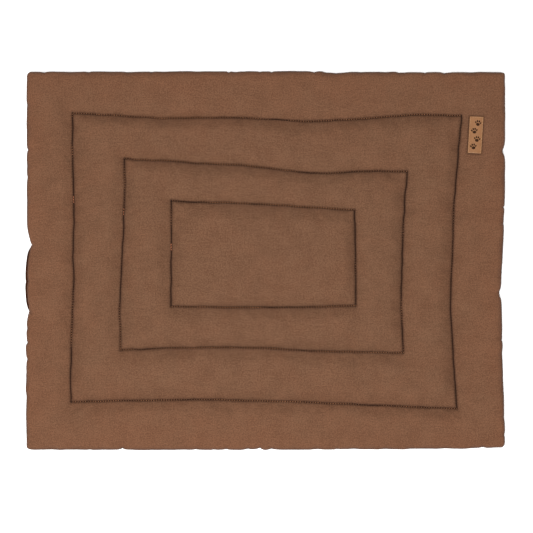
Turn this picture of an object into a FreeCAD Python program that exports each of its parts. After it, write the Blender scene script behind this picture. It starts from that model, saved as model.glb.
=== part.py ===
import FreeCAD, Part
import math
import os
import Sketcher

# A quilted floor mat for a pet: two woven cover panels with a sheet of wadding between them, closed by a
# turned seam round the edge and stitched through along three nested rectangles, with a small sewn-on label.
#
# Frame: millimetres, +Z up, X along the long side. The origin is the middle of the underside, on the floor.
# The wadding pushes both covers out, so every stitch line lies in a valley on top and in one underneath.

Vector = FreeCAD.Vector

SIZES = {
    # whole mat, outside
    "mat_length": 950,
    "mat_width": 750,
    "mat_height": 25,
    "cover_thick": 0.8,
    # rounded outer edge: the level of the edge seam, and how far in the padding reaches full height
    "seam_level": 10,
    "edge_run": 16,
    "seam_allowance": 12,
    "seam_inset": 4,
    # quilting: the levels of the two covers at a stitch line, and how far its valleys reach sideways
    "quilt_top": 12.5,
    "quilt_under": 7.5,
    "top_run": 20,
    "under_run": 20,
    "valley_floor": 1.2,
    "outer_length": 755,
    "outer_width": 565,
    "middle_length": 555,
    "middle_width": 360,
    "inner_length": 365,
    "inner_width": 200,
    # sewing thread, laid flat
    "thread_wide": 1.0,
    "thread_high": 0.6,
    # opening in the left edge that the mat was turned through, sewn shut afterwards
    "turning_gap": 130,
    "turning_gap_y": -37,
    # label on the border, turned a little clockwise
    "label_length": 74,
    "label_width": 28,
    "label_thick": 1.2,
    "label_corner": 1.5,
    "label_x": 413.5,
    "label_y": 245.5,
    "label_turn": -3.6,
    "label_stitch": 2,
    "label_thread": 0.4,
    # how far a cutting shape stands clear of the slab that it cuts
    "overcut": 2,
}

RINGS = ("outer", "middle", "inner")

# For each face of the mat: the level of the flat tops of the channels, the rise from the stitch line and from
# the edge seam to there, the run of the stitch valley, and the way out of the mat.
FACES = {
    "top": {
        "rise": "(Sizes.mat_height - Sizes.quilt_top)",
        "edge_rise": "(Sizes.mat_height - Sizes.seam_level)",
        "run": "Sizes.top_run",
        "outwards": 1,
    },
    "under": {
        "rise": "Sizes.quilt_under",
        "edge_rise": "Sizes.seam_level",
        "run": "Sizes.under_run",
        "outwards": -1,
    },
}

doc = FreeCAD.newDocument("pet_mat")


def make_sheet():
    """Writes the driving dimensions to the spreadsheet, a name and a number in each row."""
    sheet = doc.addObject("Spreadsheet::Sheet", "Sizes")
    for row, (name, number) in enumerate(SIZES.items(), 1):
        sheet.set(f"A{row}", name)
        sheet.set(f"B{row}", str(number))
        sheet.setAlias(f"B{row}", name)
    doc.recompute()


def origin_plane(body, role):
    """One of a body's own origin planes, found by its role."""
    return next(f for f in body.Origin.OriginFeatures if f.Role == role)


def new_sketch(body, name, plane="XY_Plane", level=None):
    """An empty sketch on one of the body's planes, lifted to a level if one is given."""
    sketch = body.newObject("Sketcher::SketchObject", name)
    sketch.AttachmentSupport = (origin_plane(body, plane), [""])
    sketch.MapMode = "FlatFace"
    if level:
        sketch.setExpression("AttachmentOffset.Base.z", level)
    return sketch


def bind(sketch, kind, geometry, size):
    """Adds a dimension to a sketch and binds it to an expression on the sheet."""
    now = abs(sketch_distance(sketch, kind, geometry))
    index = sketch.addConstraint(Sketcher.Constraint(kind, *geometry, now))
    sketch.setExpression(f"Constraints[{index}]", size)


def sketch_distance(sketch, kind, geometry):
    """The present size of what a dimension is about to fix."""
    if kind == "Radius":
        return sketch.Geometry[geometry[0]].Radius
    first = sketch.getPoint(*geometry[0:2])
    second = sketch.getPoint(*geometry[2:4])
    apart = second - first
    return apart.x if kind == "DistanceX" else apart.y


def join_ends(sketch, first, count):
    """Makes each of some edges that follow each other start where the one before it ends, in a closed loop."""
    for i in range(count):
        after = first + (i + 1) % count
        sketch.addConstraint(Sketcher.Constraint("Coincident", first + i, 2, after, 1))


def add_rectangle(sketch, length, width, rough):
    """A rectangle centred on the sketch's origin, bound to two expressions. rough is its size as first drawn."""
    x, y = rough[0] / 2, rough[1] / 2
    corners = [Vector(-x, -y), Vector(x, -y), Vector(x, y), Vector(-x, y)]
    first = sketch.GeometryCount
    for i in range(4):
        sketch.addGeometry(Part.LineSegment(corners[i], corners[(i + 1) % 4]))
    join_ends(sketch, first, 4)
    for side, way in enumerate(("Horizontal", "Vertical", "Horizontal", "Vertical")):
        sketch.addConstraint(Sketcher.Constraint(way, first + side))
    sketch.addConstraint(Sketcher.Constraint("Symmetric", first, 1, first + 2, 1, -1, 1))
    bind(sketch, "DistanceX", (first, 1, first, 2), length)
    bind(sketch, "DistanceY", (first + 1, 1, first + 1, 2), width)


def pad(body, sketch, name, height):
    """Pads a sketch upwards by a bound height."""
    made = body.newObject("PartDesign::Pad", name)
    made.Profile = sketch
    made.setExpression("Length", height)
    return made


def half_round_path(body, name, half_length, half_width, rough):
    """The back half of a rectangular path, from the X axis on the right round to the X axis on the left."""
    x, y = rough
    sketch = new_sketch(body, name)
    points = [Vector(x, 0), Vector(x, y), Vector(-x, y), Vector(-x, 0)]
    for start, end in zip(points, points[1:]):
        sketch.addGeometry(Part.LineSegment(start, end))
    for i in range(2):
        sketch.addConstraint(Sketcher.Constraint("Coincident", i, 2, i + 1, 1))
    sketch.addConstraint(Sketcher.Constraint("Vertical", 0))
    sketch.addConstraint(Sketcher.Constraint("Vertical", 2))
    sketch.addConstraint(Sketcher.Constraint("PointOnObject", 0, 1, -1))
    sketch.addConstraint(Sketcher.Constraint("PointOnObject", 2, 2, -1))
    sketch.addConstraint(Sketcher.Constraint("Symmetric", 1, 1, 1, 2, -2))
    bind(sketch, "DistanceX", (-1, 1, 0, 1), half_length)
    bind(sketch, "DistanceY", (0, 1, 0, 2), half_width)
    return sketch


def arc_between(centre, start, end):
    """The arc about a centre, anticlockwise from one point to another."""
    radius = (start - centre).Length
    angles = [math.atan2(p.y - centre.y, p.x - centre.x) for p in (start, end)]
    return Part.ArcOfCircle(Part.Circle(centre, Vector(0, 0, 1), radius), *angles)


def add_shoulder(sketch, centre, edge, crown, outwards, right_side):
    """Draws the rounded shoulder of a channel, an arc that leaves the flat crown level and drops to its edge.
    Returns which ends of the arc are the crown and the edge: an arc always runs anticlockwise."""
    crown_first = (outwards > 0) != right_side
    start, end = (crown, edge) if crown_first else (edge, crown)
    sketch.addGeometry(arc_between(centre, start, end))
    return (1, 2) if crown_first else (2, 1)


def crown_levels(face, inset):
    """Rough levels, on one face, of the flat crowns and of the top of the cutting shape beyond them."""
    if face == "top":
        return SIZES["mat_height"] - inset, SIZES["mat_height"] + SIZES["overcut"]
    return inset, -SIZES["overcut"]


def shoulder_radius(run, rise, inset):
    """The radius of an arc that is level at the crown and drops by rise over run, less the inset."""
    return f"({run}^2 + {rise}^2) / (2 * {rise}) - {inset}"


def rough_radius(run, rise):
    return (run**2 + rise**2) / (2 * rise)


def hold_crown(sketch, arc, crown_end, cap, outwards, inset, radius):
    """Sets a shoulder's radius, and puts its crown in line with its centre, an inset and an overcut from the
    cap."""
    sketch.addConstraint(Sketcher.Constraint("Vertical", arc, 3, arc, crown_end))
    lower_and_upper = (arc, crown_end, *cap) if outwards > 0 else (*cap, arc, crown_end)
    bind(sketch, "DistanceY", lower_and_upper, f"Sizes.overcut + {inset}")
    bind(sketch, "Radius", (arc,), radius)


def hold_cap(sketch, cap, face):
    """Sets how far the top of a cutting shape stands clear of the slab."""
    if face == "top":
        bind(sketch, "DistanceY", (-1, 1, *cap), "Sizes.mat_height + Sizes.overcut")
    else:
        bind(sketch, "DistanceY", (*cap, -1, 1), "Sizes.overcut")


def valley_profile(body, name, ring, face, inset, inset_now):
    """The cross-section of a stitch valley: a narrow flat floor between the shoulders of two channels."""
    facts = FACES[face]
    outwards = facts["outwards"]
    run = SIZES[f"{face}_run"]
    floor = SIZES[f"quilt_{face}"] - outwards * inset_now
    crown, cap = crown_levels(face, inset_now)
    rise = abs(crown - floor)
    radius = rough_radius(run, rise)
    line = SIZES[f"{ring}_length"] / 2
    half_floor = SIZES["valley_floor"] / 2
    near, far = line - half_floor - run, line + half_floor + run

    sketch = new_sketch(body, name, "XZ_Plane")
    ends = []
    for x, edge_x, right_side in ((near, line - half_floor, True), (far, line + half_floor, False)):
        centre = Vector(x, crown - outwards * radius)
        edge, top = Vector(edge_x, floor), Vector(x, crown)
        ends.append(add_shoulder(sketch, centre, edge, top, outwards, right_side))
    (near_crown, near_edge), (far_crown, far_edge) = ends
    sketch.addGeometry(Part.LineSegment(Vector(line - half_floor, floor), Vector(line + half_floor, floor)))
    sketch.addGeometry(Part.LineSegment(Vector(near, crown), Vector(near, cap)))
    sketch.addGeometry(Part.LineSegment(Vector(near, cap), Vector(far, cap)))
    sketch.addGeometry(Part.LineSegment(Vector(far, cap), Vector(far, crown)))
    for joint in (
        (0, near_edge, 2, 1),
        (2, 2, 1, far_edge),
        (0, near_crown, 3, 1),
        (3, 2, 4, 1),
        (4, 2, 5, 1),
        (5, 2, 1, far_crown),
    ):
        sketch.addConstraint(Sketcher.Constraint("Coincident", *joint))
    for edge, way in ((2, "Horizontal"), (3, "Vertical"), (4, "Horizontal"), (5, "Vertical")):
        sketch.addConstraint(Sketcher.Constraint(way, edge))
    hold_cap(sketch, (3, 2), face)
    wide = shoulder_radius(facts["run"], facts["rise"], inset)
    hold_crown(sketch, 0, near_crown, (3, 2), outwards, inset, wide)
    hold_crown(sketch, 1, far_crown, (3, 2), outwards, inset, wide)
    level = f"Sizes.quilt_{face} - {outwards} * ({inset})"
    bind(sketch, "DistanceY", (-1, 1, 2, 1), level)
    centre_off = f"(Sizes.valley_floor / 2 + {facts['run']})"
    bind(sketch, "DistanceX", (-1, 1, 0, 3), f"Sizes.{ring}_length / 2 - {centre_off}")
    bind(sketch, "DistanceX", (-1, 1, 1, 3), f"Sizes.{ring}_length / 2 + {centre_off}")
    return sketch


def edge_profile(body, name, face, inset, inset_now):
    """The cross-section of what is cut away to round the outer edge from the flat crown to the edge seam."""
    facts = FACES[face]
    outwards = facts["outwards"]
    run, seam = SIZES["edge_run"], SIZES["seam_level"]
    crown, cap = crown_levels(face, inset_now)
    outer_crown = crown + outwards * inset_now
    radius = rough_radius(run, abs(outer_crown - seam)) - inset_now
    near = SIZES["mat_length"] / 2 - run
    outside = SIZES["mat_length"] / 2 + SIZES["overcut"]
    centre = Vector(near, crown - outwards * radius)
    edge = Vector(near + math.sqrt(radius**2 - (seam - centre.y) ** 2), seam)

    sketch = new_sketch(body, name, "XZ_Plane")
    top_end, seam_end = add_shoulder(sketch, centre, edge, Vector(near, crown), outwards, True)
    corners = [edge, Vector(outside, seam), Vector(outside, cap), Vector(near, cap), Vector(near, crown)]
    for start, end in zip(corners, corners[1:]):
        sketch.addGeometry(Part.LineSegment(start, end))
    for joint in ((0, seam_end, 1, 1), (1, 2, 2, 1), (2, 2, 3, 1), (3, 2, 4, 1), (4, 2, 0, top_end)):
        sketch.addConstraint(Sketcher.Constraint("Coincident", *joint))
    for side, way in ((1, "Horizontal"), (2, "Vertical"), (3, "Horizontal"), (4, "Vertical")):
        sketch.addConstraint(Sketcher.Constraint(way, side))
    hold_cap(sketch, (3, 2), face)
    wide = shoulder_radius("Sizes.edge_run", facts["edge_rise"], inset)
    hold_crown(sketch, 0, top_end, (3, 2), outwards, inset, wide)
    bind(sketch, "DistanceY", (-1, 1, 1, 1), "Sizes.seam_level")
    bind(sketch, "DistanceX", (-1, 1, 0, 3), "Sizes.mat_length / 2 - Sizes.edge_run")
    bind(sketch, "DistanceX", (-1, 1, 1, 2), "Sizes.mat_length / 2 + Sizes.overcut")
    return sketch


def cut_along(body, name, profile, path):
    """Cuts a profile out of the body along the back half of a rectangular path, with mitred corners."""
    before = body.Shape.Volume
    pipe = body.newObject("PartDesign::SubtractivePipe", name)
    pipe.Profile = profile
    pipe.Spine = (path, ["Edge1", "Edge2", "Edge3"])
    pipe.Transition = "Right corner"
    doc.recompute()
    if not pipe.Shape.Volume < before:
        raise RuntimeError(f"{name} cuts nothing")
    return pipe


def quilted_body(name, inset, inset_now):
    """The padded mat as one solid, everywhere the inset inside its outer surface: a slab with rounded edges and
    a valley along each stitch line, on both faces. The cuts go round the back half and are then mirrored."""
    body = doc.addObject("PartDesign::Body", name)
    outline = new_sketch(body, f"{name}_outline", level=inset)
    rough = (SIZES["mat_length"], SIZES["mat_width"])
    shorter = f" - 2 * {inset}"
    add_rectangle(outline, "Sizes.mat_length" + shorter, "Sizes.mat_width" + shorter, rough)
    pad(body, outline, f"{name}_slab", "Sizes.mat_height" + shorter)
    doc.recompute()

    cuts = []
    edge_path = half_round_path(
        body, f"{name}_edge_path", "Sizes.mat_length / 2", "Sizes.mat_width / 2", (rough[0] / 2, rough[1] / 2)
    )
    for face in FACES:
        profile = edge_profile(body, f"{name}_{face}_edge_profile", face, inset, inset_now)
        cuts.append(cut_along(body, f"{name}_{face}_edge", profile, edge_path))
    for ring in RINGS:
        half_sizes = (SIZES[f"{ring}_length"] / 2, SIZES[f"{ring}_width"] / 2)
        half_words = (f"Sizes.{ring}_length / 2", f"Sizes.{ring}_width / 2")
        path = half_round_path(body, f"{name}_{ring}_path", *half_words, half_sizes)
        for face in FACES:
            profile = valley_profile(body, f"{name}_{ring}_{face}_profile", ring, face, inset, inset_now)
            cuts.append(cut_along(body, f"{name}_{ring}_{face}_valley", profile, path))

    front = body.newObject("PartDesign::Mirrored", f"{name}_front_half")
    front.Originals = cuts
    front.MirrorPlane = (origin_plane(body, "XZ_Plane"), [""])
    body.Tip = front
    doc.recompute()
    return body


def frame(name, length, width, bar, level, height, rough):
    """A flat rectangular frame: two centred rectangles one bar apart, padded up from a level."""
    body = doc.addObject("PartDesign::Body", name)
    sketch = new_sketch(body, f"{name}_outline", level=level)
    add_rectangle(sketch, length, width, rough)
    inside = (rough[0] - 1, rough[1] - 1)
    add_rectangle(sketch, f"{length} - 2 * {bar}", f"{width} - 2 * {bar}", inside)
    pad(body, sketch, f"{name}_pad", height)
    doc.recompute()
    return body


def ring_thread(name, ring, level):
    """One sewing thread of a quilting line, laid flat in its valley."""
    return frame(
        name,
        f"Sizes.{ring}_length + Sizes.thread_wide",
        f"Sizes.{ring}_width + Sizes.thread_wide",
        "Sizes.thread_wide",
        level,
        "Sizes.thread_high",
        (SIZES[f"{ring}_length"], SIZES[f"{ring}_width"]),
    )


def seam_frame(name, inset, bar, level, height):
    """A frame that follows the edge of the mat, a stated distance in from it."""
    return frame(
        name,
        f"Sizes.mat_length - 2 * {inset}",
        f"Sizes.mat_width - 2 * {inset}",
        bar,
        level,
        height,
        (SIZES["mat_length"], SIZES["mat_width"]),
    )


def boolean(kind, name, base, tool):
    """A Part boolean of two objects of the document."""
    made = doc.addObject(f"Part::{kind}", name)
    made.Base, made.Tool = base, tool
    doc.recompute()
    return made


def half_space(name, level, height):
    """A box over the whole mat, from a level up, that splits it at the plane of the edge seam."""
    box = doc.addObject("Part::Box", name)
    box.setExpression("Length", "Sizes.mat_length + 2 * Sizes.overcut")
    box.setExpression("Width", "Sizes.mat_width + 2 * Sizes.overcut")
    box.setExpression("Height", height)
    box.setExpression("Placement.Base.x", "-Sizes.mat_length / 2 - Sizes.overcut")
    box.setExpression("Placement.Base.y", "-Sizes.mat_width / 2 - Sizes.overcut")
    box.setExpression("Placement.Base.z", level)
    return box


def turning_gap_thread():
    """The thread that closes the turning gap, a straight row let into the left edge along the seam."""
    thread = doc.addObject("Part::Box", "turning_gap_thread")
    thread.setExpression("Length", "Sizes.thread_high")
    thread.setExpression("Width", "Sizes.turning_gap")
    thread.setExpression("Height", "Sizes.thread_wide")
    thread.setExpression("Placement.Base.x", "-Sizes.mat_length / 2")
    thread.setExpression("Placement.Base.y", "Sizes.turning_gap_y - Sizes.turning_gap / 2")
    thread.setExpression("Placement.Base.z", "Sizes.seam_level - Sizes.thread_wide / 2")
    return thread


def place_on_label(body):
    """Puts a body drawn about the origin where the label is, with the label's turn."""
    body.Placement = FreeCAD.Placement(Vector(0, 0, 0), FreeCAD.Rotation(Vector(0, 0, 1), -1))
    body.setExpression("Placement.Base.x", "Sizes.label_x")
    body.setExpression("Placement.Base.y", "Sizes.label_y")
    body.setExpression("Placement.Rotation.Angle", "Sizes.label_turn")


def label_patch():
    """The label: a flat patch with slightly rounded corners that lies on the crown of the border."""
    body = doc.addObject("PartDesign::Body", "label")
    sketch = new_sketch(body, "label_outline", level="Sizes.mat_height")
    add_rectangle(sketch, "Sizes.label_width", "Sizes.label_length", (SIZES["label_width"], SIZES["label_length"]))
    slab = pad(body, sketch, "label_slab", "Sizes.label_thick")
    doc.recompute()
    upright = [
        f"Edge{i}"
        for i, edge in enumerate(slab.Shape.Edges, 1)
        if abs(edge.tangentAt(edge.FirstParameter).z) > 0.99
    ]
    corners = body.newObject("PartDesign::Fillet", "label_corners")
    corners.Base = (slab, upright)
    corners.setExpression("Radius", "Sizes.label_corner")
    place_on_label(body)
    return body


def label_thread_frame(name, level):
    """The thread that sews the label on, a frame just inside the label's outline."""
    body = frame(
        name,
        "Sizes.label_width - 2 * Sizes.label_stitch",
        "Sizes.label_length - 2 * Sizes.label_stitch",
        "Sizes.label_thread * 2",
        level,
        "Sizes.label_thread",
        (SIZES["label_width"], SIZES["label_length"]),
    )
    place_on_label(body)
    return body


def sewing_threads():
    """Every line of stitching is a lockstitch: a needle thread on one side and a bobbin thread on the other."""
    threads = {}
    for ring in RINGS:
        needle, bobbin = f"{ring}_quilting_needle_thread", f"{ring}_quilting_bobbin_thread"
        threads[needle] = ring_thread(needle, ring, "Sizes.quilt_top")
        threads[bobbin] = ring_thread(bobbin, ring, "Sizes.quilt_under - Sizes.thread_high")
    above = "Sizes.seam_level + Sizes.cover_thick"
    below = "Sizes.seam_level - Sizes.cover_thick - Sizes.thread_high"
    for name, level in (("edge_seam_needle_thread", above), ("edge_seam_bobbin_thread", below)):
        threads[name] = seam_frame(name, "Sizes.seam_inset", "Sizes.thread_wide", level, "Sizes.thread_high")
    on_label = "Sizes.mat_height + Sizes.label_thick"
    in_cover = "Sizes.mat_height - Sizes.cover_thick - Sizes.label_thread"
    threads["label_needle_thread"] = label_thread_frame("label_needle_thread", on_label)
    threads["label_bobbin_thread"] = label_thread_frame("label_bobbin_thread", in_cover)
    threads["turning_gap_thread"] = turning_gap_thread()
    return threads


def buried(threads):
    """The threads that lie inside the covers, where the wadding makes room for them."""
    fuse = doc.addObject("Part::MultiFuse", "buried_threads")
    names = ("edge_seam_needle_thread", "edge_seam_bobbin_thread", "label_bobbin_thread")
    fuse.Shapes = [threads[name] for name in names]
    doc.recompute()
    return fuse


def covers_and_wadding(threads):
    """The mat's outer form less the space inside it leaves the two covers, which meet at the edge seam. The seam
    allowances turn inwards there, as two flat lips, into a slit round the edge of the wadding."""
    outer_form = quilted_body("outer_form", "0", 0)
    inner_form = quilted_body("inner_form", "Sizes.cover_thick", SIZES["cover_thick"])
    slit = seam_frame(
        "seam_slit",
        "0",
        "Sizes.seam_allowance",
        "Sizes.seam_level - Sizes.cover_thick",
        "2 * Sizes.cover_thick",
    )
    inside = boolean("Cut", "inside", inner_form, slit)
    both_covers = boolean("Cut", "both_covers", outer_form, inside)
    open_edge = boolean("Cut", "open_edge", both_covers, threads["turning_gap_thread"])
    upper = half_space("upper_half", "Sizes.seam_level", "Sizes.mat_height")
    lower = half_space("lower_half", "-Sizes.overcut", "Sizes.seam_level + Sizes.overcut")
    return {
        "top_cover": boolean("Common", "top_cover", open_edge, upper),
        "bottom_cover": boolean("Common", "bottom_cover", open_edge, lower),
        "wadding": boolean("Cut", "wadding", inside, buried(threads)),
    }


def check_document():
    """Stops the script if any object of the document failed to compute."""
    doc.recompute()
    failed = [o.Name for o in doc.Objects if {"Invalid", "Error"} & set(o.State)]
    if failed:
        raise RuntimeError(f"these objects failed: {failed}")


def write_parts(parts):
    """Checks each sub-part's shape and writes it to its own STEP file."""
    os.makedirs("parts", exist_ok=True)
    for name, part in parts.items():
        part.Label = name
        shape = part.Shape
        if shape.isNull() or not shape.isValid() or len(shape.Solids) != 1:
            raise RuntimeError(f"{name} is not one valid solid")
    for name, part in parts.items():
        part.Shape.exportStep(os.path.join("parts", f"{name}.step"))
        box = part.Shape.BoundBox
        print(f"{name}: {part.Shape.Volume / 1000:.2f} cm3, z {box.ZMin:.2f} to {box.ZMax:.2f} mm")


make_sheet()
sewn = sewing_threads()
pieces = {**covers_and_wadding(sewn), "label": label_patch(), **sewn}
check_document()
write_parts(pieces)
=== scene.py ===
import bmesh
import bpy
import numpy as np
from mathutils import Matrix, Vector


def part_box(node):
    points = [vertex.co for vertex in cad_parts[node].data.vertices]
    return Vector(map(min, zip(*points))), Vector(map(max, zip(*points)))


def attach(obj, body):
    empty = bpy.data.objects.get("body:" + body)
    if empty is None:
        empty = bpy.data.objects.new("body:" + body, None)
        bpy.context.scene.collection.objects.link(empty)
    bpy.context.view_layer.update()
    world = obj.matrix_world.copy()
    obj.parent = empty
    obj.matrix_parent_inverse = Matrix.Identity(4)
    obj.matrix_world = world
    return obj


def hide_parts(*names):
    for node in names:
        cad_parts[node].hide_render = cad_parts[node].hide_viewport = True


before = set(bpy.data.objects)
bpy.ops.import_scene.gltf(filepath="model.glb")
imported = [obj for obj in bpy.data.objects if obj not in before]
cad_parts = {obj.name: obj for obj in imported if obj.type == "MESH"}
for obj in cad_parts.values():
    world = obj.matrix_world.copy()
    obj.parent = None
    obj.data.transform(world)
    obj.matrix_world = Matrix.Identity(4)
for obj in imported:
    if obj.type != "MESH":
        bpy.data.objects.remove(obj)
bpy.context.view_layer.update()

# ==== The quilt as sewn ====
# Two panels of woven cotton with a sheet of wadding between them are sewn through along three nested
# rectangles and closed round the edge. The cloth is steered by hand, so the lines wander off the pattern by
# up to 2 cm.

MM = 0.001
THREAD_WIDE, THREAD_HIGH = 1.0 * MM, 0.6 * MM
RINGS = ("outer", "middle", "inner")
LINES = ("edge", *RINGS)

top_low, top_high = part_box("top_cover")
SEAM_Z, CROWN_Z = top_low.z, top_high.z
CLOTH = CROWN_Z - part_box("wadding")[1].z

# How far each side of each line was sewn off the pattern, towards +X or +Y: (place along the side, drift) in
# mm.
DRIFT = {
    "edge": {
        "left": [(-375, 1), (-160, 0), (-37, -1), (60, 2), (375, 2)],
        "right": [(-375, -1), (-330, -2), (-210, -6), (-110, -7), (-50, -9), (60, -4), (140, -1), (375, -1)],
        "bottom": [(-475, -1), (-347, -2), (0, -2), (300, 0), (475, 2)],
        "top": [(-475, -3), (-190, -3), (117, -2), (271, -4), (475, -4)],
    },
    "outer": {
        "left": [(-280, -8), (-240, -9), (-110, -5), (-48, -1), (0, -4), (80, -1), (190, -4), (291, -5)],
        "right": [(-295, 2), (-190, -6), (-85, -12), (0, -9), (110, -5), (200, 2), (285, 11)],
        "bottom": [(-385, 1), (-250, 4), (-120, 6), (40, 2), (160, -3), (290, -9), (379, -13)],
        "top": [(-382, 8), (-200, -3), (-60, -1), (85, -10), (210, -2), (291, 5), (388, 2)],
    },
    "middle": {
        "left": [(-178, -9), (-120, -12), (-40, -9), (40, -4), (140, -1), (200, -3)],
        "right": [(-184, -5), (-90, -10), (20, -7), (120, -3), (174, 3)],
        "bottom": [(-286, 1), (-200, 4), (-80, 7), (30, 4), (90, -1), (200, -3), (273, -4)],
        "top": [(-279, 20), (-190, 16), (-130, 10), (-50, 8), (60, -6), (115, -10), (200, -4), (281, -6)],
    },
    "inner": {
        "left": [(-93, -5), (117, -4)],
        "right": [(-91, -5), (-40, -4), (40, -5), (98, -7)],
        "bottom": [(-190, 7), (0, 5), (130, 7), (179, 9)],
        "top": [(-188, 18), (-150, 14), (-60, 13), (30, 8), (105, 3), (177, -2)],
    },
}

# Where the edge seam is pinched in to a notch: (place along the side, depth, half width) in mm.
NOTCHES = {
    "left": [(30, 11, 14), (-102, 8, 14), (165, 2, 6)],
    "right": [(217, 6, 8), (-65, 5, 7)],
    "bottom": [(-36, 3, 6), (10, 3, 5)],
    "top": [(-60, 2, 6), (96, 3, 6), (-440, 2, 5)],
}
CORNER_RADIUS = 8 * MM
# The edge's shallow scallops: their depth and the pitch of the random line that sets them, and how far into
# the mat the pinched cloth is drawn.
SCALLOP_DEEP, SCALLOP_PITCH, PINCH_REACH = 1.9 * MM, 30 * MM, 18 * MM


def half_size(line):
    """Half the length and half the width of a sewn line: the mat's own, or to the middle of a quilting
    thread."""
    if line == "edge":
        return np.array(top_high[:2])
    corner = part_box(f"{line}_quilting_needle_thread")[1]
    return np.array(corner[:2]) - THREAD_WIDE / 2


HALF = {line: half_size(line) for line in LINES}


def ease(value, start, end):
    """An S-shaped step from 0 at the start to 1 at the end."""
    share = np.clip((value - start) / (end - start), 0, 1)
    return share * share * (3 - 2 * share)


def uneven(seed, along, pitch):
    """Smooth random unevenness along a line, about one high: random heights a pitch apart, with an S-shaped
    blend from each to the next."""
    heights = np.random.default_rng(seed).normal(size=4096)
    place = along / pitch + 2048
    knot = np.floor(place).astype(int)
    share = ease(place - knot, 0, 1)
    return heights[knot] * (1 - share) + heights[knot + 1] * share


def lumps(seed, u, v, pitch):
    """Smooth random unevenness over a surface: random heights on a square net, blended both ways as a
    line's."""
    heights = np.random.default_rng(seed).normal(size=(256, 256))
    places = [u / pitch + 128, v / pitch + 128]
    knots = [np.floor(place).astype(int) for place in places]
    i, j = knots
    s, t = (ease(place - knot, 0, 1) for place, knot in zip(places, knots))
    near = heights[i, j] * (1 - s) + heights[i + 1, j] * s
    far = heights[i, j + 1] * (1 - s) + heights[i + 1, j + 1] * s
    return near * (1 - t) + far * t


def drift(line, side, along):
    """How far a side was sewn off the pattern: straight from point to point, averaged over 40 mm, plus the
    hand's own small shake."""
    places, offsets = np.array(DRIFT[line][side], float).T * MM
    window = np.linspace(-20, 20, 9) * MM
    steered = np.mean([np.interp(along + shift, places, offsets) for shift in window], axis=0)
    seed = LINES.index(line) * 4 + list(DRIFT[line]).index(side)
    return steered + 0.4 * MM * uneven(seed, along, 17 * MM)


def shared_drift(across, along, low_side, high_side, axis):
    """The sewn lines' drift shared out over the cloth. Each line gives all of its own where it runs, and
    takes the share of the lines outside it past its ends. Between lines the drift changes evenly."""
    low, high = drift("edge", low_side, along), drift("edge", high_side, along)
    places, drifts = [-HALF["edge"][axis], HALF["edge"][axis]], [low, high]
    for outside, ring in zip(LINES, RINGS):
        share = (HALF[outside][axis] - HALF[ring][axis]) / (2 * HALF[outside][axis])
        past_end = ease(np.abs(along), HALF[ring][1 - axis] + 4 * MM, HALF[ring][1 - axis] + 70 * MM)
        taken_low, taken_high = low + share * (high - low), high + share * (low - high)
        low = drift(ring, low_side, along) * (1 - past_end) + taken_low * past_end
        high = drift(ring, high_side, along) * (1 - past_end) + taken_high * past_end
        middle = len(places) // 2
        places[middle:middle] = [-HALF[ring][axis], HALF[ring][axis]]
        drifts[middle:middle] = [low, high]
    shares = np.eye(len(places))
    return sum(np.interp(across, places, share) * shift for share, shift in zip(shares, drifts))


def from_edge(u, v):
    """How far in from the edge of the pattern a point lies."""
    return np.minimum(HALF["edge"][0] - np.abs(u), HALF["edge"][1] - np.abs(v))


def pinched(side, along):
    """How far the edge seam is drawn in along a side: a sharp dent at each notch, and small ones wherever a
    smooth random line crosses zero, so that the edge runs in shallow scallops."""
    seed = 40 + 2 * list(NOTCHES).index(side)
    crossings = np.exp(-6 * np.abs(uneven(seed, along, SCALLOP_PITCH)))
    depth = SCALLOP_DEEP * crossings * np.clip(0.8 + uneven(seed + 1, along, 55 * MM), 0, 2)
    for place, deep, width in NOTCHES[side]:
        depth = depth + deep * MM * np.exp(-np.abs(along - place * MM) / (width * MM))
    return depth


def drawn_in(u, v, reach):
    """How far a place is drawn in by the pinches of each side, which fade inwards over a reach."""
    length, width = HALF["edge"]
    return {
        "left": pinched("left", v) * np.exp(-(length + u) / reach),
        "right": pinched("right", v) * np.exp(-(length - u) / reach),
        "bottom": pinched("bottom", u) * np.exp(-(width + v) / reach),
        "top": pinched("top", u) * np.exp(-(width - v) / reach),
    }


def sewn(u, v):
    """Where a point (u, v) of the pattern lies once sewn: moved by the shared drift and the pinches, and at a
    corner by the map from a square to a quarter circle."""
    pull = drawn_in(u, v, PINCH_REACH)
    x = u + shared_drift(u, v, "left", "right", 0) + pull["left"] - pull["right"]
    y = v + shared_drift(v, u, "bottom", "top", 1) + pull["bottom"] - pull["top"]
    p, q = (
        np.clip(1 - (half - np.abs(place)) / CORNER_RADIUS, 0, 1) for half, place in zip(HALF["edge"], (u, v))
    )
    x = x - np.sign(u) * CORNER_RADIUS * p * (1 - np.sqrt(1 - q * q / 2))
    y = y - np.sign(v) * CORNER_RADIUS * q * (1 - np.sqrt(1 - p * p / 2))
    return x, y


# ==== The padded form ====
# Polyester wadding 25 mm thick pushes both panels out between the sewn lines. It fills each channel to a
# nearly flat crown with rounded shoulders. The cloth is settled over it by simulation, so that it puckers as
# cloth does.

STITCH_VALLEY = {
    "top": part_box("outer_quilting_needle_thread")[0].z,
    "under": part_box("outer_quilting_bobbin_thread")[1].z,
}
CROWN = {"top": CROWN_Z, "under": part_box("bottom_cover")[0].z}
# How far the rounded shoulders of the channels run, and their fullness: 2 is an ellipse, and less is leaner.
SHOULDER = {"top": 34 * MM, "under": 22 * MM}
EDGE_SHOULDER = 9 * MM
FULLNESS, EDGE_FULLNESS = 1.5, 2
VALLEY_FLOOR = 0.3 * MM
# Ridges that run off every sewn line: their pitch along it, how far they reach, and their height, in mm.
PUCKERS = ((8, 5, 0.22), (17, 10, 0.42), (42, 22, 0.6))


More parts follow.
